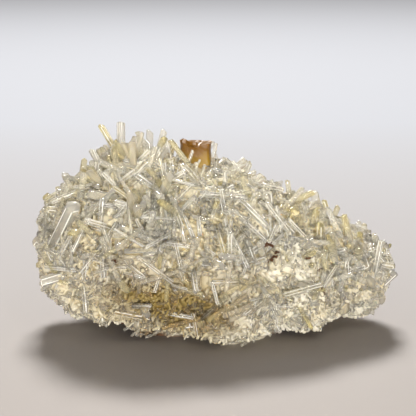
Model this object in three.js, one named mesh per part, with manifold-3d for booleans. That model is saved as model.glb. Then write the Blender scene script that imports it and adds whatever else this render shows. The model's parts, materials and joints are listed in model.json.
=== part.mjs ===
// Mango quartz: a hand-sized cluster of slender clear quartz prisms, criss-crossed at all angles, on a
// lumpy bed of milky quartz. One stout golden crystal stands at the crest. The bed rests on a small flat spot.
// Millimetres, +Z up. The broad front faces -Y, and the origin is on the table under the middle of the cluster.

import * as THREE from "three";
import { mergeVertices } from "three/addons/utils/BufferGeometryUtils.js";
import Module from "manifold-3d";

const wasm = await Module();
wasm.setup();

const degree = Math.PI / 180;

// The bed lies along X. Each list below runs from its left end to its right end at even stations.
const bed = {
  halfLength: 52.5,
  endSquareness: 4,
  upperFullness: 0.9, // under 1 makes a cross-section squarer than an ellipse, over 1 makes it more pointed
  lowerFullness: 1.25,
  waistHeight: [27, 25, 23, 21, 19, 18, 18, 19, 19],
  riseToCrest: [14.5, 21.5, 28, 29, 29, 26, 18.5, 11.5, 8.5],
  fallToUnderside: [23, 23.5, 20.5, 23.5, 23, 20.5, 17.5, 16.5, 17],
  reachToFront: [18, 24, 29, 31, 31, 29, 25, 20, 14],
  reachToBack: [15, 23, 28, 29, 27, 26, 24, 19, 13],
  spineOffset: [4, 2, 0, -1, 0, 1, 3, 4, 6], // how far the middle lies towards the back
};

// Lumps on the bed: how many waves fit in 100 mm along X, Y and Z, and each one's height in mm.
const bedWaves = [
  { perHundred: [4.1, 1.3, 2.2], phase: 0.4, height: 1.1 },
  { perHundred: [1.7, 5.2, 1.9], phase: 2.1, height: 1.0 },
  { perHundred: [3.3, -3.1, 4.4], phase: 4.0, height: 0.9 },
  { perHundred: [-6.3, 4.4, 5.1], phase: 1.2, height: 0.6 },
  { perHundred: [8.2, 6.1, -6.4], phase: 5.3, height: 0.5 },
];

// Pits in the bed. The first two are the deep ochre hollows low on the front, the next two undercut its lower edge.
const pits = [
  { at: [-22, -26, 13], radius: 7, depth: 8 },
  { at: [-6, -30, 12], radius: 7, depth: 7 },
  { at: [31, -20, 3], radius: 6, depth: 7 },
  { at: [-15, -21, 1], radius: 10, depth: 6 },
  { at: [12, -24, 34], radius: 6, depth: 3 },
  { at: [-14, 27, 24], radius: 8, depth: 5 },
  { at: [22, 24, 18], radius: 7, depth: 4 },
];

const bedFineness = 7; // how often each edge of the starting icosahedron is cut
const socketGap = 0.3;
const rootDepth = 3.5; // how deep a crystal is rooted in the bed

// Crystals that stand clear of the rest. The tip is where the crystal ends. Swing is its direction in the front view,
// counted from +X towards +Z, and toward is how much it points at the viewer, both in degrees.
const standing = {
  crest: [
    { tip: [-35.2, 13, 61.1], swing: 121, toward: -3, width: 2.9 },
    { tip: [-29.3, 20, 61], swing: 90, toward: -9, width: 3.4 },
    { tip: [-20.2, 18, 58.6], swing: 88, toward: -14, width: 2.6 },
    { tip: [-13.4, -5, 59.3], swing: 126, toward: 8, width: 1.9 },
    { tip: [-0.4, 15.5, 55.4], swing: 50, toward: -6, width: 2 },
    { tip: [9.5, 4, 51.7], swing: 42, toward: -4, width: 3.6 },
    { tip: [15.4, 9.5, 45.2], swing: 8, toward: -6, width: 3.4 },
  ],
  left: [
    { tip: [-39.5, 6, 52], swing: 80, toward: -4, width: 2.3 },
    { tip: [-40.3, -19, 43.3], swing: 64, toward: 28, width: 5 },
    { tip: [-54.4, -3, 29.2], swing: 150, toward: 4, width: 5.2 },
    { tip: [-50.5, 6, 40], swing: 112, toward: -2, width: 2.2 },
    { tip: [-51.6, -15.6, 18.8], swing: 194, toward: 16, width: 3.6 },
    { tip: [-36.7, -20.5, 46.2], swing: 165, toward: 25, width: 2.8 },
    { tip: [-50.4, -2.5, 37.6], swing: 107, toward: 4, width: 2.2 },
  ],
  right: [
    { tip: [29.5, -3, 43.4], swing: 24, toward: 2, width: 2.3 },
    { tip: [21.8, -13.8, 41], swing: 108, toward: 30, width: 5.4 },
    { tip: [30.2, -6, 39.3], swing: 86, toward: 8, width: 2.2 },
    { tip: [32.6, 2, 40], swing: 107, toward: -2, width: 2 },
    { tip: [37.8, -7, 37.4], swing: 103, toward: 10, width: 2.5 },
    { tip: [30.4, -13.8, 36.2], swing: 92, toward: 30, width: 2.6 },
    { tip: [48.7, 3, 29.2], swing: 80, toward: 0, width: 2.6 },
    { tip: [55, -3, 20.6], swing: 48, toward: 10, width: 5 },
  ],
  front: [
    { tip: [14.7, -26, 37.6], swing: -39, toward: 40, width: 2.2 },
    { tip: [8, -21.8, 44.4], swing: -5, toward: 21, width: 1.7 },
    { tip: [-38.8, -27.5, 39.6], swing: 132, toward: 26, width: 1.8 },
    { tip: [-24.4, -32.4, 20.5], swing: -39, toward: 42, width: 2.4 },
    { tip: [-13.9, -36, 18.9], swing: -94, toward: 32, width: 1.8 },
    { tip: [-3.6, -35.2, 20.4], swing: -11, toward: 26, width: 1.9 },
    { tip: [3.3, -37, 20.7], swing: 58, toward: 51, width: 2.1 },
    { tip: [33.5, -15.5, 33.9], swing: 115, toward: 26, width: 2 },
    { tip: [-5.6, -25.8, 46.7], swing: 49, toward: 28, width: 1.8 },
  ],
  back: [
    { tip: [-22, 41, 30], swing: 130, toward: -62, width: 3.2 },
    { tip: [6, 42, 26], swing: 40, toward: -64, width: 2.8 },
    { tip: [-38, 31, 34], swing: 140, toward: -44, width: 2.6 },
    { tip: [32, 34, 27], swing: 38, toward: -52, width: 3 },
  ],
};

// The golden crystal. Its top is broken off unevenly: each corner ends a little lower than the highest one.
const golden = {
  foot: [-5.8, 5, 40],
  top: [-6.1, 6, 57.2],
  width: 9.2,
  bevel: 0.7,
  hollow: 0.8, // how far the middle of the top lies under its highest corner
  cornerDrops: [0.9, 1.2, 1.4, 0.7, 0, 0.2],
};

// Where the middle of the finished cluster lies in the coordinates used above. It is moved to the origin at the end.
const middle = [0.134, 1.227];

// The carpet of smaller crystals, fused to the bed that they grew from.
const carpet = {
  seed: 41,
  sites: 330,
  lowestFacing: -0.15, // crystals grow where the bed's outward normal is not turned further down than this
  straying: 0.95, // how far a crystal leans away from the normal, at random
  width: [1.7, 3.1],
  standsOut: [4.5, 12],
  lengthShare: [0.55, 0.8, 1, 1, 0.9, 0.85, 0.75, 0.55, 0.45], // from the bed's left end to its right end
};

// One repeatable series of numbers from 0 to 1.
function seededSeries(seed) {
  let state = seed;
  return () => {
    state = (state + 0x6d2b79f5) | 0;
    let mixed = Math.imul(state ^ (state >>> 15), 1 | state);
    mixed = (mixed + Math.imul(mixed ^ (mixed >>> 7), 61 | mixed)) ^ mixed;
    return ((mixed ^ (mixed >>> 14)) >>> 0) / 4294967296;
  };
}

// A smooth curve through a list of values, read at along, which runs from -1 to 1.
function profileAt(values, along) {
  const place = ((along + 1) / 2) * (values.length - 1);
  const station = Math.min(Math.floor(place), values.length - 2);
  const t = place - station;
  const [before, from, to, after] = [-1, 0, 1, 2].map(
    (step) => values[Math.min(Math.max(station + step, 0), values.length - 1)],
  );
  const bend = 2 * before - 5 * from + 4 * to - after;
  const twist = 3 * from - before - 3 * to + after;
  return 0.5 * (2 * from + (to - before) * t + bend * t * t + twist * t * t * t);
}

// How much the lumps and pits push the bed out at a point.
function bulgeAt([x, y, z]) {
  let bulge = 0;
  for (const wave of bedWaves) {
    const [perX, perY, perZ] = wave.perHundred;
    const turns = (perX * x + perY * y + perZ * z) / 100;
    bulge += wave.height * Math.sin(2 * Math.PI * turns + wave.phase);
  }
  for (const pit of pits) {
    const distance = Math.hypot(x - pit.at[0], y - pit.at[1], z - pit.at[2]);
    bulge -= pit.depth * Math.exp(-((distance / pit.radius) ** 2));
  }
  return bulge;
}

// The bed's surface. Along runs from -1 to 1 along X, and angle goes round X from the front up over the crest.
function bedSurface(along, angle) {
  const closing = Math.pow(1 - Math.pow(Math.abs(along), bed.endSquareness), 1 / bed.endSquareness);
  const fullness = Math.sin(angle) > 0 ? bed.upperFullness : bed.lowerFullness;
  const forward = Math.sign(Math.cos(angle)) * Math.abs(Math.cos(angle)) ** fullness;
  const upward = Math.sign(Math.sin(angle)) * Math.abs(Math.sin(angle)) ** fullness;
  const reach = profileAt(forward > 0 ? bed.reachToFront : bed.reachToBack, along) * closing;
  const rise = profileAt(upward > 0 ? bed.riseToCrest : bed.fallToUnderside, along) * closing;
  const x = along * bed.halfLength;
  const middle = profileAt(bed.spineOffset, along);
  const waist = profileAt(bed.waistHeight, along);
  const across = -forward * reach;
  const over = upward * rise;
  const radius = Math.hypot(across, over) || 1;
  const bulge = bulgeAt([x, middle + across, waist + over]) * Math.min(1, closing * 1.6);
  const swollen = Math.max(1 + bulge / radius, 0.2);
  return new THREE.Vector3(x, middle + across * swollen, Math.max(waist + over * swollen, 0));
}

function bedNormal(along, angle) {
  const step = 0.02;
  const lengthwise = bedSurface(along + step, angle).sub(bedSurface(along - step, angle));
  const around = bedSurface(along, angle + step).sub(bedSurface(along, angle - step));
  return lengthwise.cross(around).normalize();
}

// Whether a point is in the bed: its distance from the bed's spine against the surface at the same angle.
function isInBed(point) {
  const along = point.x / bed.halfLength;
  if (Math.abs(along) >= 0.98) return false;
  const middle = profileAt(bed.spineOffset, along);
  const waist = profileAt(bed.waistHeight, along);
  let low = 0;
  let high = 2 * Math.PI;
  const wanted = (Math.atan2(point.z - waist, middle - point.y) + 2 * Math.PI) % (2 * Math.PI);
  for (let halving = 0; halving < 24; halving++) {
    const angle = (low + high) / 2;
    const edge = bedSurface(along, angle);
    const bearing = (Math.atan2(edge.z - waist, middle - edge.y) + 2 * Math.PI) % (2 * Math.PI);
    if (bearing < wanted) low = angle;
    else high = angle;
  }
  const edge = bedSurface(along, low);
  return Math.hypot(point.y - middle, point.z - waist) < Math.hypot(edge.y - middle, edge.z - waist);
}

// A closed geometry as a manifold-3d solid, and back as a geometry.
function solidFrom(geometry) {
  geometry.deleteAttribute("normal");
  geometry.deleteAttribute("uv");
  const merged = mergeVertices(geometry, 1e-4);
  return new wasm.Manifold(
    new wasm.Mesh({
      numProp: 3,
      vertProperties: merged.attributes.position.array,
      triVerts: new Uint32Array(merged.index.array),
    }),
  );
}

function geometryFrom(solid) {
  const mesh = solid.getMesh();
  const geometry = new THREE.BufferGeometry();
  geometry.setAttribute("position", new THREE.BufferAttribute(mesh.vertProperties, 3));
  geometry.setIndex(new THREE.BufferAttribute(mesh.triVerts, 1));
  geometry.computeVertexNormals();
  return geometry;
}

// Fills the small pockets that crossing crystals close off: of all the shells, only the largest stays.
function withoutPockets(solid) {
  return solid.decompose().reduce((largest, shell) => (shell.volume() > largest.volume() ? shell : largest));
}

function bedGeometry() {
  const geometry = new THREE.IcosahedronGeometry(1, bedFineness);
  const position = geometry.attributes.position;
  for (let i = 0; i < position.count; i++) {
    const along = THREE.MathUtils.clamp(position.getX(i), -1, 1);
    const point = bedSurface(along, Math.atan2(position.getZ(i), -position.getY(i)));
    position.setXYZ(i, point.x, point.y, point.z);
  }
  return geometry;
}

// A six-sided prism with a six-faced point, from its root to its tip. The apex sits a little off the axis.
function crystalGeometry({ root, tip, width, spin }, grow = 0) {
  const axis = tip.clone().sub(root);
  const length = axis.length() + 2 * grow;
  const radius = width / 2 + grow;
  const pointLength = Math.min(0.48 * width, 0.4 * length);
  const profile = [
    new THREE.Vector2(0, 0),
    new THREE.Vector2(radius, 0),
    new THREE.Vector2(radius * 0.93, length - pointLength),
    new THREE.Vector2(0, length),
  ];
  const geometry = new THREE.LatheGeometry(profile, 6);
  const position = geometry.attributes.position;
  for (let i = 0; i < position.count; i++) {
    if (position.getY(i) > length - 1e-6) position.setX(i, 0.18 * width);
  }
  geometry.rotateY(spin);
  geometry.translate(0, -grow, 0);
  const turn = new THREE.Quaternion().setFromUnitVectors(new THREE.Vector3(0, 1, 0), axis.normalize());
  geometry.applyQuaternion(turn);
  geometry.translate(root.x, root.y, root.z);
  return geometry;
}

// Follows a standing crystal back from its tip until it is rooted in the bed.
function rootedCrystal({ tip, swing, toward, width }, spin) {
  const direction = new THREE.Vector3(
    Math.cos(swing * degree) * Math.cos(toward * degree),
    -Math.sin(toward * degree),
    Math.sin(swing * degree) * Math.cos(toward * degree),
  );
  const end = new THREE.Vector3(...tip);
  const stride = 0.5;
  const longest = 30;
  for (let length = stride; length < longest; length += stride) {
    const root = end.clone().addScaledVector(direction, -length);
    if (isInBed(root)) {
      return { root: root.addScaledVector(direction, -rootDepth), tip: end, width, spin };
    }
  }
  throw new Error(`a crystal with its tip at ${tip} never meets the bed`);
}

// The shortest distance between the axes of two crystals, sampled along the first.
function axisDistance(first, second) {
  const line = new THREE.Line3(second.root, second.tip);
  const samples = 12;
  let nearest = Infinity;
  for (let i = 0; i <= samples; i++) {
    const point = first.root.clone().lerp(first.tip, i / samples);
    const foot = line.closestPointToPoint(point, true, new THREE.Vector3());
    nearest = Math.min(nearest, foot.distanceTo(point));
  }
  return nearest;
}

// Crystals spread evenly over the bed, each leaning its own way, that stay clear of the standing ones.
function carpetCrystals(keepClearOf) {
  const next = seededSeries(carpet.seed);
  const between = ([low, high]) => low + (high - low) * next();
  const goldenAngle = Math.PI * (3 - Math.sqrt(5));
  const grown = [];
  for (let site = 0; site < carpet.sites; site++) {
    const along = 0.97 * (1 - (2 * (site + 0.5)) / carpet.sites);
    const angle = site * goldenAngle + 0.3 * (next() - 0.5);
    const stray = new THREE.Vector3(next() - 0.5, next() - 0.5, next() - 0.5).multiplyScalar(2);
    const [width, spin] = [between(carpet.width), next()];
    const out = between(carpet.standsOut) * profileAt(carpet.lengthShare, along);
    const normal = bedNormal(along, angle);
    if (normal.z < carpet.lowestFacing) continue;
    const direction = normal.clone().addScaledVector(stray, carpet.straying).normalize();
    if (direction.dot(normal) < 0.35) direction.addScaledVector(normal, 0.6).normalize();
    const foot = bedSurface(along, angle);
    const crystal = {
      root: foot.clone().addScaledVector(direction, -rootDepth),
      tip: foot.clone().addScaledVector(direction, out),
      width,
      spin: spin * Math.PI,
    };
    const isClear = keepClearOf.every(
      (other) => axisDistance(crystal, other) > 0.6 * (crystal.width + other.width) + socketGap,
    );
    if (isClear && crystal.tip.z > crystal.width) grown.push(crystal);
  }
  return grown;
}

// A short stout prism with an uneven, slightly hollow top and bevelled top edges.
function goldenGeometry(grow = 0) {
  const foot = new THREE.Vector3(...golden.foot);
  const top = new THREE.Vector3(...golden.top);
  const length = foot.distanceTo(top) + 2 * grow;
  const radius = golden.width / 2 / Math.cos(30 * degree) + grow;
  const profile = [
    new THREE.Vector2(0, 0),
    new THREE.Vector2(radius, 0),
    new THREE.Vector2(radius, length - golden.bevel),
    new THREE.Vector2(radius - golden.bevel, length),
    new THREE.Vector2(0, length - golden.hollow),
  ];
  const geometry = new THREE.LatheGeometry(profile, golden.cornerDrops.length);
  const position = geometry.attributes.position;
  for (let i = 0; i < position.count; i++) {
    const corner = Math.floor(i / profile.length) % golden.cornerDrops.length;
    const place = i % profile.length;
    if (place === 2 || place === 3) position.setY(i, position.getY(i) - golden.cornerDrops[corner]);
  }
  geometry.translate(0, -grow, 0);
  const turn = new THREE.Quaternion().setFromUnitVectors(
    new THREE.Vector3(0, 1, 0),
    top.clone().sub(foot).normalize(),
  );
  geometry.applyQuaternion(turn);
  geometry.translate(foot.x, foot.y, foot.z);
  return geometry;
}

function namedMesh(name, geometry, material) {
  const mesh = new THREE.Mesh(geometry, material);
  mesh.name = name;
  return mesh;
}

const milkyQuartz = new THREE.MeshStandardMaterial({ color: 0xd2cbb4, roughness: 0.55, metalness: 0 });
const clearQuartz = new THREE.MeshStandardMaterial({ color: 0xe6e4d8, roughness: 0.08, metalness: 0 });
const goldenQuartz = new THREE.MeshStandardMaterial({ color: 0xb07a22, roughness: 0.25, metalness: 0 });

const standingCrystals = Object.entries(standing).flatMap(([side, list]) =>
  list.map((crystal, i) => ({
    name: `${side}_crystal_${i + 1}`,
    ...rootedCrystal(crystal, i * 0.7),
  })),
);
const goldenAxis = {
  root: new THREE.Vector3(...golden.foot),
  tip: new THREE.Vector3(...golden.top),
  width: golden.width * 1.1,
};

let matrix = solidFrom(bedGeometry());
for (const crystal of carpetCrystals([...standingCrystals, goldenAxis])) {
  matrix = matrix.add(solidFrom(crystalGeometry(crystal)));
}
for (const crystal of standingCrystals) {
  matrix = matrix.subtract(solidFrom(crystalGeometry(crystal, socketGap)));
}
matrix = withoutPockets(matrix.subtract(solidFrom(goldenGeometry(socketGap))));

const crystals = new THREE.Group();
for (const crystal of standingCrystals) {
  const solid = solidFrom(crystalGeometry(crystal));
  crystals.add(namedMesh(crystal.name, geometryFrom(solid), clearQuartz));
}
crystals.add(namedMesh("golden_crystal", geometryFrom(solidFrom(goldenGeometry())), goldenQuartz));

const cluster = new THREE.Group();
cluster.add(namedMesh("matrix", geometryFrom(matrix), milkyQuartz));
cluster.add(crystals);
cluster.position.set(-middle[0], -middle[1], 0);

export default cluster;
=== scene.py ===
import json

import bmesh
import bpy
import numpy as np
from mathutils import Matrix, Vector, noise
from mathutils.bvhtree import BVHTree

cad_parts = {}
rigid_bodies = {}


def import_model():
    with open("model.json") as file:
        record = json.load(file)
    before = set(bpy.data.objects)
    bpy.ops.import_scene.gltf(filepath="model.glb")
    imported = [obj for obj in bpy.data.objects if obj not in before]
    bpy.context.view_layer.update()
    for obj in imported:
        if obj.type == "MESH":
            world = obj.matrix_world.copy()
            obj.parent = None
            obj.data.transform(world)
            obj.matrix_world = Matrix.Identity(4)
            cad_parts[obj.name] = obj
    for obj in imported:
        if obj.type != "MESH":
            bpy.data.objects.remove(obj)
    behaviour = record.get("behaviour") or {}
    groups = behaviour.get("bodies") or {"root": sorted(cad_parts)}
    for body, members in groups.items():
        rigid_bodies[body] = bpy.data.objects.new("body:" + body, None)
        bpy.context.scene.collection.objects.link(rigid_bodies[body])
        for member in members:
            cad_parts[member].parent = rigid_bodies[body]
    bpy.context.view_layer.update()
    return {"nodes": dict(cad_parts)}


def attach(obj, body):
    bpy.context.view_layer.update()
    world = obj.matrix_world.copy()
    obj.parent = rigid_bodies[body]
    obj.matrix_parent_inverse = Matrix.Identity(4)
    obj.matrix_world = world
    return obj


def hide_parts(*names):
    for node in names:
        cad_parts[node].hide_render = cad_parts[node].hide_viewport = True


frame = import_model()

mm = 0.001
scene = bpy.context.scene


def hexToLinear(hexColour):  # sRGB hex to the linear numbers that shaders take
    channels = [int(hexColour[i:i + 2], 16) / 255 for i in (1, 3, 5)]
    return tuple(c / 12.92 if c <= 0.04045 else ((c + 0.055) / 1.055) ** 2.4 for c in channels)


def opaque(hexColour):  # the same with full alpha, as a colour socket takes it
    return (*hexToLinear(hexColour), 1)


def addNode(tree, kind, settings=None, links=None):  # one node with its values and what feeds it
    node = tree.nodes.new(kind)
    for name, value in (settings or {}).items():
        if isinstance(name, int) or name in node.inputs:
            node.inputs[name].default_value = value
        else:
            setattr(node, name, value)
    for name, source in (links or {}).items():
        tree.links.new(source, node.inputs[name])
    return node


def startMaterial(name):  # a material without nodes, and its tree
    material = bpy.data.materials.new(name)
    material.use_nodes = True
    material.node_tree.nodes.clear()
    return material, material.node_tree


def makePlainMaterial(name, hexColour, roughness):  # one colour all over
    material = bpy.data.materials.new(name)
    material.use_nodes = True
    shader = material.node_tree.nodes["Principled BSDF"]
    shader.inputs["Base Color"].default_value = opaque(hexColour)
    shader.inputs["Roughness"].default_value = roughness
    return material


def toMesh(form, name):  # a finished bmesh form as a mesh
    mesh = bpy.data.meshes.new(name)
    form.to_mesh(mesh)
    form.free()
    return mesh


def unit(vectors):
    return vectors / np.maximum(np.linalg.norm(vectors, axis=-1, keepdims=True), 1e-9)


# The camera looks at the broad front from a little above. Places are in mm
camera = {
    "target": (-2.384, -1.227, 37.8),
    "elevation": 12,
    "distance": 430,
    "lens": 124,
}


def makeCamera():
    data = bpy.data.cameras.new("frontCamera")
    data.lens = camera["lens"]
    data.sensor_width = 36
    data.clip_start, data.clip_end = 0.01, 20
    eye = bpy.data.objects.new("frontCamera", data)
    scene.collection.objects.link(eye)
    tilt = np.radians(camera["elevation"])
    back = Vector((0, -np.cos(tilt), np.sin(tilt)))
    eye.location = (Vector(camera["target"]) + back * camera["distance"]) * mm
    eye.rotation_mode = "QUATERNION"
    eye.rotation_quaternion = (-back).to_track_quat("-Z", "Y")
    scene.camera = eye


makeCamera()
print("camera placed")

# Light: a soft panel high up behind the cluster, a weaker and low one before it, two slim ones that draw
# the glints, and a dim, warm room, which makes the shadow in front brown. Each has its name, its place and
# size in mm, its watts and its colour
lights = [
    ("skyPanel", (-40, 960, 1450), (460, 460), 47, "#FFFDFA"),
    ("frontPanel", (100, -1500, 135), (1500, 240), 24, "#FFFEFA"),
    ("leftStrip", (-430, -210, 330), (8, 260), 0.32, "#FFFFFF"),
    ("frontStrip", (170, -420, 520), (8, 240), 0.3, "#FFFFFF"),
]
lightsAim = (0, 0, 25)  # mm
surroundings = {"above": "#FFFDF8", "level": "#E2BE90", "below": "#D8D6D3", "strength": 0.33}
floorLook = {
    "size": 9000,  # mm
    # painted shade: the card's colour is darker and warmer at its near end than at its far end
    "near": "#98908A",
    "far": "#A3A6AD",
    "nearEnd": -160,
    "farEnd": 420,
    "roughness": 0.6,
}
lightPaths = {"total": 300, "transmission": 300, "glossy": 300, "diffuse": 12}


def makeLights():
    for name, place, size, watts, colour in lights:
        data = bpy.data.lights.new(name, "AREA")
        data.shape = "RECTANGLE"
        data.size, data.size_y = (side * mm for side in size)
        data.energy = watts
        data.color = hexToLinear(colour)
        lamp = bpy.data.objects.new(name, data)
        scene.collection.objects.link(lamp)
        lamp.location = Vector(place) * mm
        lamp.rotation_mode = "QUATERNION"
        aim = Vector(lightsAim) * mm - lamp.location
        lamp.rotation_quaternion = aim.to_track_quat("-Z", "Y")
        lamp.visible_camera = False


def makeSurroundings():
    world = bpy.data.worlds.new("paleRoom")
    world.use_nodes = True
    tree = world.node_tree
    tree.nodes.clear()
    place = addNode(tree, "ShaderNodeTexCoord")
    parts = addNode(tree, "ShaderNodeSeparateXYZ", links={0: place.outputs["Generated"]})
    height = addNode(
        tree,
        "ShaderNodeMapRange",
        {"From Min": -1.0, "From Max": 1.0, "To Min": 0.0, "To Max": 1.0},
        {"Value": parts.outputs["Z"]},
    )
    ramp = addNode(tree, "ShaderNodeValToRGB", links={"Fac": height.outputs[0]})
    stops = ramp.color_ramp.elements
    stops[0].position, stops[0].color = 0.3, opaque(surroundings["below"])
    stops[1].position, stops[1].color = 0.95, opaque(surroundings["above"])
    middle = stops.new(0.5)
    middle.color = opaque(surroundings["level"])
    glow = addNode(
        tree,
        "ShaderNodeBackground",
        {"Strength": surroundings["strength"]},
        {"Color": ramp.outputs["Color"]},
    )
    addNode(tree, "ShaderNodeOutputWorld", links={"Surface": glow.outputs[0]})
    scene.world = world


# Matt white card, its colour painted darker and warmer towards the front: painted shade, standing in for
# light that falls off towards the camera
def makeFloor():
    material, tree = startMaterial("whiteCard")
    place = addNode(tree, "ShaderNodeTexCoord")
    parts = addNode(tree, "ShaderNodeSeparateXYZ", links={0: place.outputs["Object"]})
    depth = addNode(
        tree,
        "ShaderNodeMapRange",
        {"From Min": floorLook["nearEnd"] * mm, "From Max": floorLook["farEnd"] * mm},
        {"Value": parts.outputs["Y"]},
    )
    shade = addNode(
        tree,
        "ShaderNodeMix",
        {
            "data_type": "RGBA",
            6: opaque(floorLook["near"]),
            7: opaque(floorLook["far"]),
        },
        {0: depth.outputs[0]},
    )
    shader = addNode(
        tree,
        "ShaderNodeBsdfPrincipled",
        {"Roughness": floorLook["roughness"], "Specular IOR Level": 0.25},
        {"Base Color": shade.outputs[2]},
    )
    addNode(tree, "ShaderNodeOutputMaterial", links={"Surface": shader.outputs[0]})
    form = bmesh.new()
    bmesh.ops.create_grid(form, x_segments=1, y_segments=1, size=floorLook["size"] / 2 * mm)
    mesh = toMesh(form, "floor")
    mesh.materials.append(material)
    floor = bpy.data.objects.new("floor", mesh)
    scene.collection.objects.link(floor)


makeLights()
makeSurroundings()
makeFloor()
scene.view_settings.view_transform = "Standard"
scene.cycles.max_bounces = lightPaths["total"]
scene.cycles.transmission_bounces = lightPaths["transmission"]
scene.cycles.glossy_bounces = lightPaths["glossy"]
scene.cycles.diffuse_bounces = lightPaths["diffuse"]
print("floor and light made")

# The milky bed, in mm, from its left end to its right end: the same form as the solid bed it stands for
bed = {
    "middle": (0.134, 1.227),  # where the finished cluster's middle lies in the bed's own coordinates
    "halfLength": 52.5,
    "endSquareness": 4,
    "upperFullness": 0.9,
    "lowerFullness": 1.25,
    "waistHeight": [27, 25, 23, 21, 19, 18, 18, 19, 19],
    "riseToCrest": [14.5, 21.5, 28, 29, 29, 26, 18.5, 11.5, 8.5],
    "fallToUnderside": [23, 23.5, 20.5, 23.5, 23, 20.5, 17.5, 16.5, 17],
    "reachToFront": [18, 24, 29, 31, 31, 29, 25, 20, 14],
    "reachToBack": [15, 23, 28, 29, 27, 26, 24, 19, 13],
    "spineOffset": [4, 2, 0, -1, 0, 1, 3, 4, 6],
}
bedWaves = [  # waves in 100 mm along X, Y and Z, phase, height
    ((4.1, 1.3, 2.2), 0.4, 1.1),
    ((1.7, 5.2, 1.9), 2.1, 1.0),
    ((3.3, -3.1, 4.4), 4.0, 0.9),
    ((-6.3, 4.4, 5.1), 1.2, 0.6),
    ((8.2, 6.1, -6.4), 5.3, 0.5),
]
pits = [  # centre, radius, depth; the first two are the ochre hollows low on the front
    ((-22, -26, 13), 7, 8),
    ((-6, -30, 12), 7, 7),
    ((31, -20, 3), 6, 7),
    ((-15, -21, 1), 10, 6),
    ((12, -24, 34), 6, 3),
    ((-14, 27, 24), 8, 5),
    ((22, 24, 18), 7, 4),
]


def profileAt(values, along):
    values = np.asarray(values, float)
    place = (along + 1) / 2 * (len(values) - 1)
    station = np.clip(np.floor(place).astype(int), 0, len(values) - 2)
    t = place - station
    before, start, end, after = (values[np.clip(station + k, 0, len(values) - 1)] for k in (-1, 0, 1, 2))
    bend = 2 * before - 5 * start + 4 * end - after
    twist = 3 * start - before - 3 * end + after
    return 0.5 * (2 * start + (end - before) * t + bend * t * t + twist * t**3)


def bulgeAt(points):
    bulge = np.zeros(len(points))
    for perHundred, phase, height in bedWaves:
        bulge += height * np.sin(2 * np.pi * (points @ np.array(perHundred)) / 100 + phase)
    for centre, radius, depth in pits:
        bulge -= depth * np.exp(-((np.linalg.norm(points - np.array(centre), axis=1) / radius) ** 2))
    return bulge


def bedSurface(along, angle):  # mm; angle goes round the length from the front up over the crest
    closing = np.clip(1 - np.abs(along) ** bed["endSquareness"], 0, None) ** (1 / bed["endSquareness"])
    fullness = np.where(np.sin(angle) > 0, bed["upperFullness"], bed["lowerFullness"])
    forward = np.sign(np.cos(angle)) * np.abs(np.cos(angle)) ** fullness
    upward = np.sign(np.sin(angle)) * np.abs(np.sin(angle)) ** fullness
    front, back = profileAt(bed["reachToFront"], along), profileAt(bed["reachToBack"], along)
    crest, underside = profileAt(bed["riseToCrest"], along), profileAt(bed["fallToUnderside"], along)
    across = -forward * np.where(forward > 0, front, back) * closing
    over = upward * np.where(upward > 0, crest, underside) * closing
    middle, waist = profileAt(bed["spineOffset"], along), profileAt(bed["waistHeight"], along)
    smooth = np.stack([along * bed["halfLength"], middle + across, waist + over], axis=1)
    radius = np.maximum(np.hypot(across, over), 1e-6)
    swollen = np.maximum(1 + bulgeAt(smooth) * np.minimum(1, closing * 1.6) / radius, 0.2)
    height = np.maximum(waist + over * swollen, 0)
    return np.stack([smooth[:, 0], middle + across * swollen, height], axis=1)


def bedNormals(along, angle):
    step = 0.02
    lengthwise = bedSurface(along + step, angle) - bedSurface(along - step, angle)
    around = bedSurface(along, angle + step) - bedSurface(along, angle - step)
    return unit(np.cross(lengthwise, around))


def toFrame(points):  # from the bed's own mm to the frame's metres
    return (np.asarray(points) - np.array([*bed["middle"], 0])) * mm


def addPiece(name, mesh, materials, replaced=()):
    piece = bpy.data.objects.new(name, mesh)
    scene.collection.objects.link(piece)
    for material in materials:
        mesh.materials.append(material)
    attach(piece, "root")
    if replaced:
        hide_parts(*replaced)
    return piece


def setPointAttribute(mesh, name, kind, values):
    attribute = mesh.attributes.new(name, kind, "POINT")
    field = "color" if kind == "FLOAT_COLOR" else "value"
    attribute.data.foreach_set(field, np.ravel(values).astype(np.float32))


# Rock crystal with grown, glassy faces: clear, so it bends what lies behind it, and it glints in narrow
# bars. Its tint comes from each crystal's own colour, which deepens to olive yellow in some of the tips.
# Its IOR is less than quartz's 1.544, at which so many crystals, one in the other, would trap the light
def makeClearQuartz():
    material, tree = startMaterial("rockCrystal")
    tint = addNode(tree, "ShaderNodeAttribute", {"attribute_name": "tint"})
    shader = addNode(
        tree,
        "ShaderNodeBsdfPrincipled",
        {"IOR": 1.22, "Roughness": 0.0, "Transmission Weight": 0.81},
        {"Base Color": tint.outputs["Color"]},
    )
    body = addNode(
        tree, "ShaderNodeVolumeAbsorption", {"Color": opaque("#F6EED0"), "Density": 36.0}
    )
    addNode(
        tree,
        "ShaderNodeOutputMaterial",
        links={"Surface": shader.outputs[0], "Volume": body.outputs[0]},
    )
    return material


# The same crystal with veils of tiny bubbles inside: a part of the light spreads in it, so it is pale and
# only partly see-through
def makeCloudyQuartz():
    material, tree = startMaterial("cloudyRockCrystal")
    tint = addNode(tree, "ShaderNodeAttribute", {"attribute_name": "tint"})
    shader = addNode(
        tree,
        "ShaderNodeBsdfPrincipled",
        {
            "IOR": 1.3,
            "Roughness": 0.05,
            "Transmission Weight": 0.76,
            "Subsurface Weight": 0.3,
            "Subsurface Radius": (0.0030, 0.0028, 0.0022),
            "Subsurface Scale": 1.0,
        },
        {"Base Color": tint.outputs["Color"]},
    )
    addNode(tree, "ShaderNodeOutputMaterial", links={"Surface": shader.outputs[0]})
    return material


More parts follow.
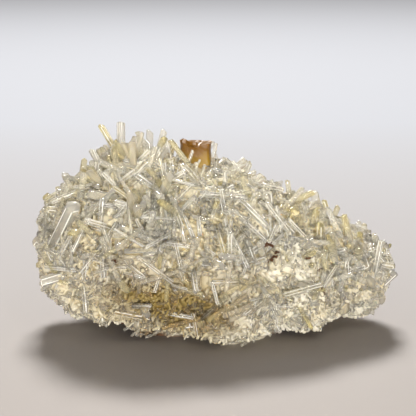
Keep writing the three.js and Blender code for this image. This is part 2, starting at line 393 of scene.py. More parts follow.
# Milky quartz, grown as a crust of tiny crystals: full of bubbles, so light goes in a little way and
# spreads. Its cream patches are 14 mm across and its grains 1.3 mm
def makeMilkyQuartz():
    material, tree = startMaterial("milkyQuartz")
    place = addNode(tree, "ShaderNodeTexCoord")
    patches = addNode(
        tree,
        "ShaderNodeTexNoise",
        {"Scale": 1 / 0.014, "Detail": 4.0},
        {"Vector": place.outputs["Object"]},
    )
    grains = addNode(
        tree,
        "ShaderNodeTexNoise",
        {"Scale": 1 / 0.0013, "Detail": 3.0},
        {"Vector": place.outputs["Object"]},
    )
    ochre = addNode(tree, "ShaderNodeAttribute", {"attribute_name": "ochre"})
    cream = addNode(tree, "ShaderNodeValToRGB", links={"Fac": patches.outputs["Fac"]})
    stops = cream.color_ramp.elements
    stops[0].position, stops[0].color = 0.36, opaque("#E8DBB8")
    stops[1].position, stops[1].color = 0.6, opaque("#F5EFDD")
    stained = addNode(
        tree,
        "ShaderNodeMix",
        {"data_type": "RGBA", 7: opaque("#A08A50")},
        {0: ochre.outputs["Fac"], 6: cream.outputs["Color"]},
    )
    # painted shade: the underside's dark brown, which darkens and browns the floor's shadow beneath the
    # cluster
    undersideShade = addNode(tree, "ShaderNodeAttribute", {"attribute_name": "undersideShade"})
    browned = addNode(
        tree,
        "ShaderNodeMix",
        {"data_type": "RGBA", 7: opaque("#6A4226")},
        {0: undersideShade.outputs["Fac"], 6: stained.outputs[2]},
    )
    bump = addNode(
        tree, "ShaderNodeBump", {"Strength": 0.6, "Distance": 0.0006}, {"Height": grains.outputs["Fac"]}
    )
    shader = addNode(
        tree,
        "ShaderNodeBsdfPrincipled",
        {
            "IOR": 1.544,
            "Roughness": 0.35,
            "Subsurface Weight": 0.15,
            "Subsurface Radius": (0.0030, 0.0026, 0.0018),
            "Subsurface Scale": 1.0,
        },
        {"Base Color": browned.outputs[2], "Normal": bump.outputs["Normal"]},
    )
    addNode(tree, "ShaderNodeOutputMaterial", links={"Surface": shader.outputs[0]})
    return material


clearQuartz = makeClearQuartz()
cloudyQuartz = makeCloudyQuartz()
glintEdge = makePlainMaterial("glintEdge", "#FFFDF8", 0.3)  # painted highlight: matt white edge faces that draw the glints along the prisms' edges as thin bright lines
milkyQuartz = makeMilkyQuartz()

# The milky bed with its grain of tiny crystals
matrixLook = {
    "subdivisions": 7,
    "lumpSize": 5.0,  # mm
    "lumpHeight": 0.8,
    "grainSize": 1.9,
    "grainHeight": 0.55,
    "grainLevel": 0.35,  # how much of a grain sinks into the bed
    "flatKept": 0.6,  # mm above the table over which the grain grows to its full height
}


def ochreAt(points):  # how strongly the two hollows low on the front are stained, from 0 to 1
    stain = np.zeros(len(points))
    for centre, radius, depth in pits[:2]:
        stain += np.exp(-((np.linalg.norm(points - np.array(centre), axis=1) / (radius * 1.6)) ** 2))
    return np.clip(stain * 1.3, 0, 1)


def undersideShadeAt(along, angle):  # painted shade: the underside is painted dark brown, which darkens and browns the floor's shadow beneath it, but not at the two ends
    return np.clip((-0.86 - np.sin(angle)) / 0.1, 0, 1) * np.clip((0.65 - np.abs(along)) / 0.1, 0, 1)


def makeMatrix():
    form = bmesh.new()
    bmesh.ops.create_icosphere(form, subdivisions=matrixLook["subdivisions"], radius=1)
    start = unit(np.array([v.co for v in form.verts]))
    along, angle = start[:, 0], np.arctan2(start[:, 2], -start[:, 1])
    surface, normals = bedSurface(along, angle), bedNormals(np.clip(along, -0.97, 0.97), angle)
    for vertex, point, normal in zip(form.verts, surface, normals):
        lump = noise.noise(Vector(point) / matrixLook["lumpSize"])
        distances = noise.voronoi(Vector(point) / matrixLook["grainSize"])[0]
        grain = distances[1] - distances[0] - matrixLook["grainLevel"]
        rise = lump * matrixLook["lumpHeight"] + grain * matrixLook["grainHeight"]
        rise *= min(1, point[2] / matrixLook["flatKept"])
        moved = point + normal * rise
        vertex.co = Vector(toFrame((moved[0], moved[1], max(moved[2], 0))))
    mesh = toMesh(form, "milkyMatrix")
    mesh.shade_smooth()
    setPointAttribute(mesh, "ochre", "FLOAT", ochreAt(surface))
    # painted shade: the underside painted dark brown
    setPointAttribute(mesh, "undersideShade", "FLOAT", undersideShadeAt(along, angle))
    addPiece("milkyMatrix", mesh, [milkyQuartz], ["matrix"])


makeMatrix()
print("milky matrix made")


# One prism a unit wide and a unit tall to its shoulder: six sides and a low six-faced point
prismLook = {
    "shoulder": 0.465,  # radius, where the foot has 0.5
    "tipHeight": 0.48,
    "tipShift": 0.18,
    # width of the bevelled side edges, which some crystals paint white as a painted highlight
    "glintEdge": 0.05,
}


# Gives the prism's corners, its faces and which of the faces are the bevelled edges along the sides, the
# faces that some crystals paint white as a painted highlight
def prismTemplate(bevel):
    form = bmesh.new()
    bmesh.ops.create_cone(
        form, cap_ends=True, segments=6, radius1=0.5, radius2=prismLook["shoulder"], depth=1
    )
    bmesh.ops.translate(form, verts=form.verts, vec=(0, 0, 0.5))
    top = max(form.faces, key=lambda face: face.calc_center_median().z)
    apex = bmesh.ops.poke(form, faces=[top])["verts"][0]
    apex.co += Vector((prismLook["tipShift"], 0, prismLook["tipHeight"]))
    glintFaces = set()
    if bevel:
        edges = [e for e in form.edges if max(v.co.z for v in e.verts) > 0.5]
        made = bmesh.ops.bevel(
            form, geom=edges, offset=bevel, segments=1, profile=0.5, affect="EDGES", material=-1
        )
        glintFaces = set(made["faces"])
        form.normal_update()
    points = np.array([v.co for v in form.verts])
    form.verts.index_update()
    faces = [[v.index for v in face.verts] for face in form.faces]
    isGlintFace = np.array([face in glintFaces and abs(face.normal.z) < 0.3 for face in form.faces])
    form.free()
    return points, faces, isGlintFace


glintEdgedPrism, plainPrism = prismTemplate(prismLook["glintEdge"]), prismTemplate(0)

# The colours of the crystals
crystalColours = {
    "clear": "#FFFEF8",
    "straw": "#FCF7E6",
    "olive": "#EDE2AC",
    "ochre": "#D8BF80",
    "milkWhite": "#FBF8EE",
    "milkCream": "#F6EDD6",
}


def linearMix(first, second, share):  # between two hex colours, one row for each share
    start, end = np.array(hexToLinear(first)), np.array(hexToLinear(second))
    return start + (end - start) * np.asarray(share)[:, None]


# Joins copies of a template, one for each row of the crystals, in one mesh. A longer crystal has longer
# sides, not a stretched tip. The crystals' places and sizes are in mm
def growCrystals(name, crystals, template, replaced=(), materials=None):
    points, faces, isGlintFace = template
    axis, length, width = unit(crystals["axis"]), crystals["length"][:, None], crystals["width"][:, None]
    helper = np.where(np.abs(axis[:, 2:3]) < 0.8, [[0, 0, 1.0]], [[1.0, 0, 0]])
    side = unit(np.cross(axis, helper))
    turn = crystals["turn"][:, None]
    first = side * np.cos(turn) + np.cross(axis, side) * np.sin(turn)
    second = np.cross(axis, first)
    x = points[None, :, 0] * width
    y = points[None, :, 1] * width * crystals["flatness"][:, None]
    z = points[None, :, 2]
    slope = (x * np.cos(turn * 3) + y * np.sin(turn * 3)) * crystals["slant"][:, None]
    tip = (z - points[:, 2].max()) * width * crystals["bluntness"][:, None]
    height = np.where(z > 0.5, length + tip + slope, z * width)
    placed = crystals["root"][:, None] + x[..., None] * first[:, None]
    placed = placed + y[..., None] * second[:, None] + height[..., None] * axis[:, None]
    count, size = len(axis), len(points)
    loops = np.array([len(face) for face in faces])
    corners = np.concatenate([face for face in faces])
    mesh = bpy.data.meshes.new(name)
    mesh.vertices.add(count * size)
    mesh.vertices.foreach_set("co", toFrame(placed.reshape(-1, 3)).ravel())
    mesh.loops.add(count * len(corners))
    corners = corners[None] + np.arange(count)[:, None] * size
    mesh.loops.foreach_set("vertex_index", corners.ravel())
    mesh.polygons.add(count * len(faces))
    starts = np.concatenate([[0], np.cumsum(np.tile(loops, count))[:-1]])
    mesh.polygons.foreach_set("loop_start", starts)
    mesh.update(calc_edges=True)
    if materials is None:
        materials = [clearQuartz, cloudyQuartz, glintEdge]
        # painted highlight: the side edges of the edged crystals take the white edge material
        whiteEdge = isGlintFace[None] & crystals["edged"][:, None]
        index = np.where(whiteEdge, 2, np.where(crystals["cloudy"][:, None], 1, 0))
        mesh.polygons.foreach_set("material_index", index.ravel().astype(np.int32))
    share = np.clip(height / length, 0, 1)
    tipShare = (np.clip((share - 0.6) / 0.4, 0, 1) ** 1.5)[..., None]
    tint = crystals["body"][:, None] * (1 - tipShare) + crystals["end"][:, None] * tipShare
    tint = np.concatenate([tint, np.ones((count, size, 1))], axis=2)
    setPointAttribute(mesh, "tint", "FLOAT_COLOR", tint)
    return addPiece(name, mesh, materials, replaced)


commonEdgedShare = 0.3  # of the crystals have their side edges painted white as a painted highlight, where a kind has no share of its own


# Fills in what every crystal has: its turn, how flat, slanted and blunt it is, whether it is cloudy or has
# edges painted white as a painted highlight, and its colours
def dressCrystals(root, axis, length, width, series, oliveShare, cloudyShare=0.0, edgedShare=None):
    count, colours = len(root), crystalColours
    isOlive, isCloudy = series.random(count) < oliveShare, series.random(count) < cloudyShare
    clearBody = linearMix(colours["clear"], colours["straw"], series.random(count) * 0.35)
    cloudyBody = linearMix(colours["milkWhite"], colours["milkCream"], series.random(count))
    body = np.where(isCloudy[:, None], cloudyBody, clearBody)
    olive = np.where(isOlive, series.uniform(0.4, 1, count), 0.03)[:, None]
    return {
        "root": np.asarray(root, float),
        "axis": np.asarray(axis, float),
        "length": np.asarray(length, float),
        "width": np.asarray(width, float),
        "turn": series.uniform(0, np.pi, count),
        "flatness": series.uniform(0.68, 1, count),
        "slant": series.uniform(0, 0.5, count),
        "bluntness": series.uniform(0.35, 1, count),
        "cloudy": isCloudy,
        "edged": series.random(count) < (commonEdgedShare if edgedShare is None else edgedShare),
        "body": body,
        "end": body * (1 - olive) + np.array(hexToLinear(colours["olive"])) * olive,
    }


# One repeatable series of numbers from 0 to 1, the one that also places the carpet on the solid bed
def seededSeries(seed):
    state = seed
    while True:
        state = (state + 0x6D2B79F5) & 0xFFFFFFFF
        mixed = ((state ^ (state >> 15)) * (1 | state)) & 0xFFFFFFFF
        mixed = ((mixed + (((mixed ^ (mixed >> 7)) * (61 | mixed)) & 0xFFFFFFFF)) & 0xFFFFFFFF) ^ mixed
        yield (mixed ^ (mixed >> 14)) / 4294967296


# Reads a standing crystal's root, direction, length and width back from its solid: seven corners lie in
# its flat root, six at its shoulder and one at its tip
def axisOfNode(name):
    corners = np.unique(np.round([v.co for v in frame["nodes"][name].data.vertices], 6), axis=0) / mm
    corners = corners + np.array([*bed["middle"], 0])
    centred = corners - corners.mean(axis=0)
    line = np.linalg.svd(centred)[2][0]
    height = centred @ line
    if np.sum(height < height.min() + 0.05) != 7:
        line, height = -line, -height
    order = np.argsort(height)
    root = corners[order[:7]].mean(axis=0)
    line = unit(corners[order[7:13]].mean(axis=0) - root)
    width = 2 * np.linalg.norm(corners[order[:7]] - root, axis=1).max()
    return root, line, float((corners[order[-1]] - root) @ line), float(width)


# What is special about some of the standing crystals: milky ones with white edges painted as a highlight,
# and olive tips
standingLooks = {
    "milky": [f"left_crystal_{i}" for i in (2, 3, 5)] + ["right_crystal_8", "crest_crystal_2"],
    "yellow": ["crest_crystal_1"] + [f"right_crystal_{i}" for i in (2, 3, 4, 5)],
    "oliveShare": 0.4,
}


def makeStandingCrystals():
    everyAxis = {}
    for side in ("crest", "left", "right", "front", "back"):
        names = sorted(n for n in frame["nodes"] if n.startswith(side + "_crystal_"))
        axes = [axisOfNode(name) for name in names]
        everyAxis.update(zip(names, axes))
        series = np.random.default_rng(len(names) * 100 + len(side))
        crystals = dressCrystals(*map(np.array, zip(*axes)), series, standingLooks["oliveShare"])
        for i, name in enumerate(names):
            if name in standingLooks["milky"]:
                crystals["cloudy"][i] = crystals["edged"][i] = True
                crystals["body"][i] = crystals["end"][i] = hexToLinear(crystalColours["milkWhite"])
            if name in standingLooks["yellow"]:
                crystals["end"][i] = hexToLinear(crystalColours["olive"])
        growCrystals(side + "Crystals", crystals, glintEdgedPrism, replaced=names)
    return everyAxis


standing = makeStandingCrystals()
print("standing crystals made:", len(standing))

# The carpet: the crystals that the solid bed carries, at the same places
carpet = {
    "seed": 41,
    "sites": 330,
    "endsAt": 0.97,  # from -1 to 1 along the bed
    "lowestFacing": -0.15,
    "straying": 0.95,
    "turning": 0.3,  # radians
    "leastUpright": 0.35,  # where a crystal leans lower than this, it is righted
    "righting": 0.6,
    "elbowRoom": 0.6,  # beside the standing crystals, as a share of both widths
    "width": (1.7, 3.1),
    "standsOut": (4.5, 12),
    "lengthShare": [0.55, 0.8, 1, 1, 0.9, 0.85, 0.75, 0.55, 0.45],
    "rootDepth": 3.5,
    "socketGap": 0.3,
    "oliveShare": 0.3,
}
golden = {"foot": (-5.8, 5, 40), "top": (-6.1, 6, 57.2), "width": 9.2}


# The shortest distance between two axes, sampled at 13 places on the first
def axisDistance(root, tip, otherRoot, otherTip):
    steps = root + (tip - root) * np.linspace(0, 1, 13)[:, None]
    line = otherTip - otherRoot
    share = np.clip((steps - otherRoot) @ line / (line @ line), 0, 1)
    return np.linalg.norm(steps - otherRoot - share[:, None] * line, axis=1).min()


def carpetAxes():
    others = [(root, root + line * length, width) for root, line, length, width in standing.values()]
    others.append((np.array(golden["foot"]), np.array(golden["top"]), golden["width"] * 1.1))
    series = seededSeries(carpet["seed"])
    rows = []
    for site in range(carpet["sites"]):
        along = np.array([carpet["endsAt"] * (1 - (2 * (site + 0.5)) / carpet["sites"])])
        turn = site * np.pi * (3 - 5**0.5)  # the golden angle spreads the sites evenly
        angle = np.array([turn + carpet["turning"] * (next(series) - 0.5)])
        stray = np.array([next(series) - 0.5 for _ in range(3)]) * 2
        width = carpet["width"][0] + (carpet["width"][1] - carpet["width"][0]) * next(series)
        next(series)  # the solid's own turn
        out = carpet["standsOut"][0] + (carpet["standsOut"][1] - carpet["standsOut"][0]) * next(series)
        out *= profileAt(carpet["lengthShare"], along)[0]
        normal, foot = bedNormals(along, angle)[0], bedSurface(along, angle)[0]
        if normal[2] < carpet["lowestFacing"]:
            continue
        line = unit(normal + stray * carpet["straying"])
        if line @ normal < carpet["leastUpright"]:
            line = unit(line + normal * carpet["righting"])
        root, tip = foot - line * carpet["rootDepth"], foot + line * out
        room, gap = carpet["elbowRoom"], carpet["socketGap"]
        isClear = all(
            axisDistance(root, tip, *ends) > room * (width + otherWidth) + gap
            for *ends, otherWidth in others
        )
        if isClear and tip[2] > width:
            rows.append((root, line, out + carpet["rootDepth"], width))
    return [np.array(column) for column in zip(*rows)]


carpetRows = carpetAxes()
carpetSeries = np.random.default_rng(12)
growCrystals(
    "crystalCarpet",
    dressCrystals(*carpetRows, carpetSeries, carpet["oliveShare"]),
    glintEdgedPrism,
)
print("crystal carpet made:", len(carpetRows[0]))

# The crystals that catch the eye on the front, as the camera sees them: root and tip in mm right of and
# above its target, width, and how they look. How far away they are is found from the bed behind them
foremost = [
    ((-6.0, 12.3), (-10.5, 20.1), 1.9, "edged"),  # in front of the golden crystal
    ((-6.6, 11.4), (-4.5, 17.4), 1.1, "edged"),
    ((-3.9, 9.6), (-3.3, 13.8), 1.1, "edged"),
    ((-2.1, 9.0), (-0.9, 13.2), 1.1, "edged"),
    ((1.2, 12.9), (2.4, 19.5), 1.5, "clear"),
    ((-11.4, 14.4), (-12.9, 21.0), 2.2, "edged"),
    ((-21.3, 13.8), (-17.4, 17.4), 1.6, "edged"),  # upper left
    ((-16.2, 6.0), (-21.6, 9.9), 2.2, "edged"),
    ((-27.0, 6.0), (-31.8, 10.8), 1.6, "edged"),
    ((-38.4, 2.4), (-37.2, 10.8), 2.4, "clear"),
    ((-27.3, 2.7), (-36.6, 4.5), 3.4, "milky"),
    ((-32.7, -9.6), (-39.0, -4.2), 2.2, "clear"),
    ((-39.3, -18.6), (-48.9, -17.7), 1.6, "edged"),
    ((-36.0, -20.1), (-30.0, -18.0), 1.4, "edged"),
    ((-2.4, 4.2), (11.7, 3.0), 1.9, "edged"),  # across the middle
    ((9.6, 2.4), (18.0, -6.0), 2.1, "edged"),
    ((-8.1, -0.9), (-3.6, 3.6), 1.7, "edged"),
    ((-2.4, -8.4), (-3.0, -2.4), 1.4, "edged"),
    ((-10.8, -9.0), (-3.3, -10.2), 1.5, "clear"),
    ((-1.8, -17.1), (6.0, -18.0), 1.4, "edged"),
    ((-0.6, -15.0), (7.2, -16.2), 1.2, "edged"),
    ((10.5, -20.1), (11.7, -16.2), 1.2, "edged"),
    ((19.5, -13.2), (14.4, -19.2), 1.8, "clear"),
    ((6.0, 10.2), (11.7, 14.1), 3.0, "clear"),
    ((9.6, 6.0), (17.1, 9.6), 3.4, "clear"),
    ((-28.2, -20.1), (-24.0, -25.2), 2.7, "clear"),  # over the two ochre hollows
    ((-25.2, -19.5), (-18.3, -21.3), 1.3, "edged"),
    ((-12.0, -19.2), (-12.6, -28.2), 1.4, "edged"),
    ((-10.8, -23.1), (-1.5, -25.8), 1.4, "edged"),
    ((-10.2, -24.3), (-6.0, -29.1), 1.1, "edged"),
    ((1.2, -22.2), (3.0, -29.1), 1.3, "edged"),
    ((-1.8, -33.0), (6.0, -26.4), 1.4, "edged"),
    ((-22.5, -29.4), (-16.8, -29.4), 1.6, "edged"),
    ((-12.6, -31.5), (-4.2, -33.0), 1.5, "edged"),
    ((23.1, 0.6), (32.1, 4.8), 2.6, "olive"),  # right end
    ((31.2, -5.4), (32.4, -0.3), 2.8, "olive"),
    ((33.6, -9.6), (33.6, -4.5), 3.0, "olive"),
    ((39.9, -9.0), (36.0, -0.3), 2.2, "clear"),
    ((42.9, -10.5), (40.8, -2.1), 2.4, "olive"),
    ((37.8, -16.2), (36.6, -7.8), 2.8, "olive"),
    ((50.1, -19.2), (51.9, -9.6), 2.2, "edged"),
    ((48.0, -18.6), (48.9, -11.4), 1.8, "edged"),
]
foremostLift = (2.0, 4.0)  # mm before the bed, at the root and at the tip


# The camera's target, and the directions from it to the eye and up its picture, in the bed's own mm
def cameraDirections():
    tilt = np.radians(camera["elevation"])
    target = np.array(camera["target"]) + np.array([*bed["middle"], 0])
    toEye = np.array([0, -np.cos(tilt), np.sin(tilt)])
    upward = np.array([0, np.sin(tilt), np.cos(tilt)])
    return target, toEye, upward


def lineOfSight(across, up):  # the eye, and the direction in which it sees a place
    target, toEye, upward = cameraDirections()
    eye = target + toEye * camera["distance"]
    place = target + np.array([across, 0, 0]) + upward * up
    return eye, unit(place - eye)


def makeForemostCrystals():
    mesh = bpy.data.objects["milkyMatrix"].data
    surface = BVHTree.FromPolygons([v.co for v in mesh.vertices], [p.vertices[:] for p in mesh.polygons])
    roots, tips = [], []
    for root, tip, _, _ in foremost:
        far = None
        for seen, lift, ends in ((root, foremostLift[0], roots), (tip, foremostLift[1], tips)):
            eye, sight = lineOfSight(*seen)
            hit = surface.ray_cast(Vector(toFrame(eye)), Vector(sight))[3]
            far = hit / mm - lift if hit else (far or camera["distance"])
            ends.append(eye + sight * far)
    line = np.array(tips) - np.array(roots)
    width = np.array([row[2] for row in foremost])
    kinds = np.array([row[3] for row in foremost])
    length, series = np.linalg.norm(line, axis=1), np.random.default_rng(31)
    crystals = dressCrystals(roots, unit(line), length, width, series, oliveShare=0.0)
    crystals["edged"], crystals["cloudy"] = kinds == "edged", kinds == "milky"
    crystals["body"][kinds == "milky"] = hexToLinear(crystalColours["milkWhite"])
    crystals["end"] = crystals["body"].copy()
    crystals["end"][kinds == "olive"] = hexToLinear(crystalColours["olive"])
    growCrystals("foremostCrystals", crystals, glintEdgedPrism)


makeForemostCrystals()
print("foremost crystals made:", len(foremost))


# How much room the crowd leaves, in mm: beside a foremost crystal as the camera sees it, and round a
# standing crystal of a look of its own. It counts for crystals that lie higher than this above the bed
clearance = {"foremost": 0.7, "standing": 2.4, "higherThan": 1.2}


def crowdsForemost(places):  # whether a place lies over or close beside one of them
    target, toEye, upward = cameraDirections()
    offset = places - target
    farther = 1 - offset @ toEye / camera["distance"]
    seen = np.stack([offset[:, 0], offset @ upward], axis=1) / farther[:, None]
    crowded = np.zeros(len(places), bool)
    for root, tip, width, _ in foremost:
        root, line = np.array(root), np.array(tip) - np.array(root)
        share = np.clip((seen - root) @ line / (line @ line), 0, 1)
        away = np.linalg.norm(seen - root - share[:, None] * line, axis=1)
        crowded |= away < width / 2 + clearance["foremost"]
    for name in standingLooks["milky"] + standingLooks["yellow"]:
        root, line, length, width = standing[name]
        share = np.clip((places - root) @ line, 0, length)
        away = np.linalg.norm(places - root - share[:, None] * line, axis=1)
        crowded |= away < width / 2 + clearance["standing"]
    return crowded


# Crystals over the bed. Most lie criss-cross along its surface like dropped matches, and some stand out
# from it. Lift is how high a crystal's middle is above the bed, and lean its angle to the surface, both
# between two limits. Along limits a kind to a stretch of the length, from -1 at the left end to 1, and
# facing to the bed's sides that look up (1) to down (-1). Olive, cloudy and edged are shares
scattered = [
    {
        "name": "lyingNeedles",
        "seed": 5,
        "count": 1300,
        "width": (1.0, 2.1),
        "length": (8, 15),
        "lean": (-12, 20),
        "lift": (1.0, 3.5),
        "facing": (-0.2, 1),
        "olive": 0.2,
        "cloudy": 0.0,
        "edged": 0.45,
    },
    {
        "name": "lowerPrisms",
        "seed": 6,
        "count": 1100,
        "width": (1.1, 2.4),
        "length": (5.5, 11),
        "lean": (-10, 35),
        "lift": (-0.2, 2.0),
        "facing": (-0.35, 1),
        "olive": 0.08,
        "cloudy": 0.1,
        "edged": 0.4,
    },
    {
        "name": "outwardNeedles",
        "seed": 9,
        "count": 300,
        "width": (1.3, 2.3),
        "length": (4.5, 8),
        "lean": (30, 80),
        "lift": (0.8, 2.2),
        "facing": (-0.2, 1),
        "olive": 0.45,
        "cloudy": 0.0,
    },
    {
        "name": "crestPrisms",
        "seed": 14,
        "count": 2600,
        "width": (1.6, 3.0),
        "length": (7, 11),
        "lean": (55, 88),
        "lift": (2.4, 4.2),
        "along": (-0.66, -0.26),
        "facing": (0.8, 1),
        "olive": 0.3,
        "cloudy": 0.4,
    },
    {
        "name": "endStubs",
        "seed": 17,
        "count": 700,
        "width": (2.6, 4.6),
        "length": (5, 8),
        "lean": (15, 80),
        "lift": (-0.8, 1.4),
        "along": (0.62, 1),
        "facing": (-0.7, 1),
        "olive": 0.05,
        "cloudy": 0.6,
    },
    {
        "name": "rimStubs",
        "seed": 18,
        "count": 900,
        "width": (1.6, 3.4),
        "length": (3, 5.5),
        "lean": (20, 90),
        "lift": (-0.6, 0.5),
        "facing": (-0.85, -0.2),
        "olive": 0.0,
        "cloudy": 0.25,
    },
    {
        "name": "shortPrisms",
        "seed": 19,
        "count": 3800,
        "width": (0.6, 1.3),
        "length": (3, 6),
        "lean": (0, 60),
        "lift": (0.3, 1.7),
        "facing": (-0.75, 1),
        "olive": 0.05,
        "cloudy": 0.25,
        "plain": True,
    },
    # partly crystals, partly painted highlight: thin milky-white needles whose whiteness draws bright lines
    # in place of glints
    {
        "name": "fineGlintNeedles",
        "seed": 7,
        "count": 320,
        "width": (0.4, 0.7),
        "length": (4, 8),
        "lean": (-8, 22),
        "lift": (1.6, 3.4),
        "facing": (-0.3, 1),
        "olive": 0.0,
        "cloudy": 1.0,
        "plain": True,
    },
]
druseLook = {
    "seed": 8,
    "count": 7500,
    "width": (0.6, 1.4),
    "length": (2.2, 4.0),
    "lean": (20, 80),
    "lift": (0.0, 0.7),
    "facing": (-0.95, 1),
    "olive": 0.0,
    "cloudy": 1.0,
}
# Where the crowd keeps away, as centre and radius: before the golden crystal and in the two low hollows
clearings = [((-7, -2, 51), 5.5), *((centre, radius) for centre, radius, _ in pits[:2])]
reach = (54.9, 40.7)  # mm; no crystal reaches farther from the cluster's middle along X and Y
ochreShare = 0.75  # how much of the bed's ochre stain the crystals over it take


def scatterCrystals(look):
    series = np.random.default_rng(look["seed"])
    start = unit(series.normal(size=(look["count"], 3)))
    along = np.clip(start[:, 0], -0.9999, 0.9999)
    angle = np.arctan2(start[:, 2], -start[:, 1])
    normal, foot = bedNormals(along, angle), bedSurface(along, angle)
    tangent = series.normal(size=normal.shape)
    tangent = unit(tangent - normal * np.sum(tangent * normal, axis=1, keepdims=True))
    lean = np.radians(series.uniform(*look["lean"], look["count"]))
    axis = tangent * np.cos(lean)[:, None] + normal * np.sin(lean)[:, None]
    share = profileAt(carpet["lengthShare"], along)
    length = series.uniform(*look["length"], look["count"]) * np.clip(share * 1.1, 0.55, 1)
    lift = series.uniform(*look["lift"], look["count"])
    lift = np.where(lift > 0, lift * share, lift)
    width = series.uniform(*look["width"], look["count"])
    middle = foot + normal * lift[:, None]
    root = middle - axis * length[:, None] / 2
    shares = look["olive"], look["cloudy"], look.get("edged")
    crystals = dressCrystals(root, axis, length, width, series, *shares)
    # painted shade: where the underside is painted dark brown, used by the druse
    crystals["undersideShade"] = undersideShadeAt(along, angle)
    ochre, stain = np.array(hexToLinear(crystalColours["ochre"])), ochreAt(middle)[:, None] * ochreShare
    for part in ("body", "end"):
        crystals[part] = crystals[part] * (1 - stain) + ochre * stain
    tip = root + axis * length[:, None]
    farthest = np.maximum(np.abs(root[:, :2] - bed["middle"]), np.abs(tip[:, :2] - bed["middle"]))
    kept = (farthest[:, 0] + width / 2 < reach[0]) & (farthest[:, 1] + width / 2 < reach[1])
    kept &= (normal[:, 2] > look["facing"][0]) & (normal[:, 2] <= look["facing"][1])
    kept &= np.minimum(root[:, 2], tip[:, 2]) > width * 0.6
    if "along" in look:
        kept &= (along > look["along"][0]) & (along < look["along"][1])
    if look is not druseLook:
        for centre, radius in clearings:
            kept &= np.linalg.norm(middle - np.array(centre), axis=1) > radius
        facesFront = normal[:, 1] < 0.2
        kept &= ~(crowdsForemost(middle) & facesFront & (lift > clearance["higherThan"]))
    return {key: values[kept] for key, values in crystals.items()}


for look in scattered:
    crystals = scatterCrystals(look)
    growCrystals(look["name"], crystals, plainPrism if "plain" in look else glintEdgedPrism)
    print(look["name"], "made:", len(crystals["root"]))


# The druse: the smallest crystals, milky stubs that give the bare parts of the bed their grain
def makeDruse():
    crystals = scatterCrystals(druseLook)
    piece = growCrystals("druse", crystals, plainPrism, materials=[milkyQuartz])
    places = np.array([v.co for v in piece.data.vertices]) / mm + np.array([*bed["middle"], 0])
    setPointAttribute(piece.data, "ochre", "FLOAT", ochreAt(places))
    # painted shade: the druse on the underside is painted dark brown
    setPointAttribute(piece.data, "undersideShade", "FLOAT", np.repeat(crystals["undersideShade"], len(plainPrism[0])))
    print("druse made:", len(crystals["root"]))


makeDruse()

# The golden crystal: a stout block, its broken top with a lobe at the left, a notch beside it and a dent
goldenLook = {
    "seed": 3,  # of the unevenness; without it Blender takes the time of day
    "size": (9.4, 8.2),
    "corner": 0.3,
    "taper": 0.5,  # mm that its foot is drawn in, at the left most
    "steps": (10, 9, 16),
    "crownFrom": 0.55,  # from -1 at its foot to 1 at its top, where the broken top begins to show
    "lobe": ((-3.2, -2.0), 1.9, 1.0),  # place on the top, radius, height, mm
    "notch": ((-0.6, -2.8), 1.7, 2.3),
    "dent": ((1.8, 1.5), 2.0, 0.9),
    "settling": 0.25,
    "waves": ((2.6, 0.7), (0.9, 0.22)),  # size and height, mm
    "lowColour": "#D9C078",
    "midColour": "#BE961C",
    "topColour": "#865A0C",
    "zones": ((0.35, 0.65), (0.62, 0.87)),  # shares of its height over which one colour turns into the next
}


# Amber quartz, tinted through and a little cloudy: yellow low down, orange brown under the broken top
def makeAmberQuartz():
    material, tree = startMaterial("amberQuartz")
    tint = addNode(tree, "ShaderNodeAttribute", {"attribute_name": "tint"})
    shader = addNode(
        tree,
        "ShaderNodeBsdfPrincipled",
        {"IOR": 1.4, "Roughness": 0.4, "Transmission Weight": 0.3},
        {"Base Color": tint.outputs["Color"]},
    )
    addNode(tree, "ShaderNodeOutputMaterial", links={"Surface": shader.outputs[0]})
    return material


def makeGoldenCrystal():
    look = goldenLook
    noise.seed_set(look["seed"])
    foot, top = Vector(golden["foot"]), Vector(golden["top"])
    line = (top - foot).normalized()
    form = bmesh.new()
    bmesh.ops.create_cube(form, size=2)
    for axis, steps in enumerate(look["steps"]):
        edges = [e for e in form.edges if abs((e.verts[1].co - e.verts[0].co)[axis]) > 1.9]
        bmesh.ops.subdivide_edges(form, edges=edges, cuts=steps - 1, use_grid_fill=True)
    length = (top - foot).length
    tints = []
    for vertex in form.verts:
        x, y, z = vertex.co
        rounding = 1 - look["corner"] * (x * x) * (y * y) * 0.5
        across = Vector((x * look["size"][0] / 2 * rounding, y * look["size"][1] / 2 * rounding, 0))
        across.x += look["taper"] * (1 - z) / 2 * (1 if x < 0 else 0.2)
        height = (z + 1) / 2 * length
        crown = max(0, (z - look["crownFrom"]) / (1 - look["crownFrom"]))
        for key, sign in (("lobe", 1), ("notch", -1), ("dent", -1)):
            place, radius, rise = look[key]
            away = (across.x - place[0]) ** 2 + (across.y - place[1]) ** 2
            height += sign * rise * np.exp(-away / radius**2) * crown
        height -= look["settling"] * crown
        point = foot + line * height + across
        rough = sum((noise.noise_vector(point / size) * rise for size, rise in look["waves"]), Vector())
        point += rough * (0.35 + 0.65 * crown)
        vertex.co = Vector(toFrame(point))
        share = np.clip((z + 1) / 2 + 0.12 * noise.noise(point / 3.0), 0, 1)
        low, high = (np.clip((share - start) / (end - start), 0, 1) for start, end in look["zones"])
        tint = linearMix(look["lowColour"], look["midColour"], [low])[0]
        tint = tint * (1 - high) + np.array(hexToLinear(look["topColour"])) * high
        tints.append([*tint, 1])
    bmesh.ops.recalc_face_normals(form, faces=form.faces)
    mesh = toMesh(form, "goldenCrystal")
    setPointAttribute(mesh, "tint", "FLOAT_COLOR", tints)
    addPiece("goldenCrystal", mesh, [makeAmberQuartz()], ["golden_crystal"])


makeGoldenCrystal()
print("golden crystal made")

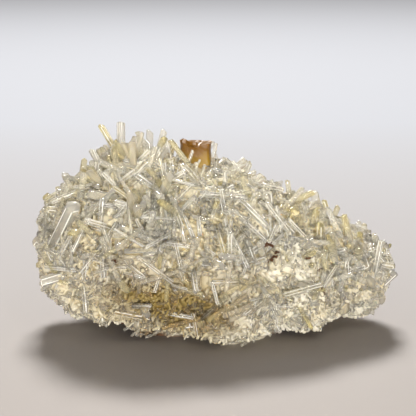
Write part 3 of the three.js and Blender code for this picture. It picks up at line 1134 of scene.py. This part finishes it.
# Specks of iron oxide on the front, as short strokes of x and z in mm with a radius. Each lies on whatever
# is behind it
rustSpecks = [
    ([(13.7, 31.8), (14.5, 32.7), (15.7, 32.7), (16.2, 31.5)], 0.42),
    ([(17.4, 30.4), (17.1, 29.2), (16.0, 28.6), (15.1, 27.5)], 0.5),
    ([(25.7, 28.4), (26.9, 28.1), (26.6, 27.2)], 0.4),
    ([(30.3, 19.8), (30.4, 19.4)], 0.38),
    ([(30.9, 18.0), (31.2, 17.1)], 0.4),
    ([(25.5, 17.5), (25.7, 17.5)], 0.3),
    ([(28.7, 24.6), (30.2, 24.6)], 0.25),
    ([(-29.2, 29.6), (-27.7, 29.2)], 0.3),
]
rustLook = {
    "spacing": 0.6,  # of a stroke's grains, their size and how uneven they are, as shares of its radius
    "size": (0.6, 1.15),
    "unevenness": (0.8, 1.2),
    "scatter": 0.2,  # mm
}


def makeRustSpecks():
    others = ["foremostCrystals", "crystalCarpet", "frontCrystals", "druse", "milkyMatrix"]
    names = [look["name"] for look in scattered] + others
    corners, faces = [], []
    for name in names:
        mesh = bpy.data.objects[name].data
        start = len(corners)
        corners.extend(v.co.copy() for v in mesh.vertices)
        faces.extend([start + i for i in polygon.vertices] for polygon in mesh.polygons)
    surface = BVHTree.FromPolygons(corners, faces)
    series = np.random.default_rng(23)
    form = bmesh.new()
    for stroke, radius in rustSpecks:
        for first, last in zip(np.array(stroke), np.array(stroke[1:])):
            steps = max(2, round(np.hypot(*(last - first)) / (radius * rustLook["spacing"])))
            for share in np.linspace(0, 1, steps):
                x, z = first * (1 - share) + last * share + series.normal(0, rustLook["scatter"], 2)
                place = surface.ray_cast(Vector(toFrame((x, -60, z))), Vector((0, 1, 0)))[0]
                size = radius * series.uniform(*rustLook["size"]) * mm
                made = bmesh.ops.create_icosphere(form, subdivisions=1, radius=size)
                for vertex in made["verts"]:
                    vertex.co *= series.uniform(*rustLook["unevenness"])
                    vertex.co += place
    ironOxide = makePlainMaterial("ironOxide", "#4E2A06", 0.85)  # dull, crumbly, dark rust brown
    addPiece("rustSpecks", toMesh(form, "rustSpecks"), [ironOxide])


makeRustSpecks()
print("rust specks made")
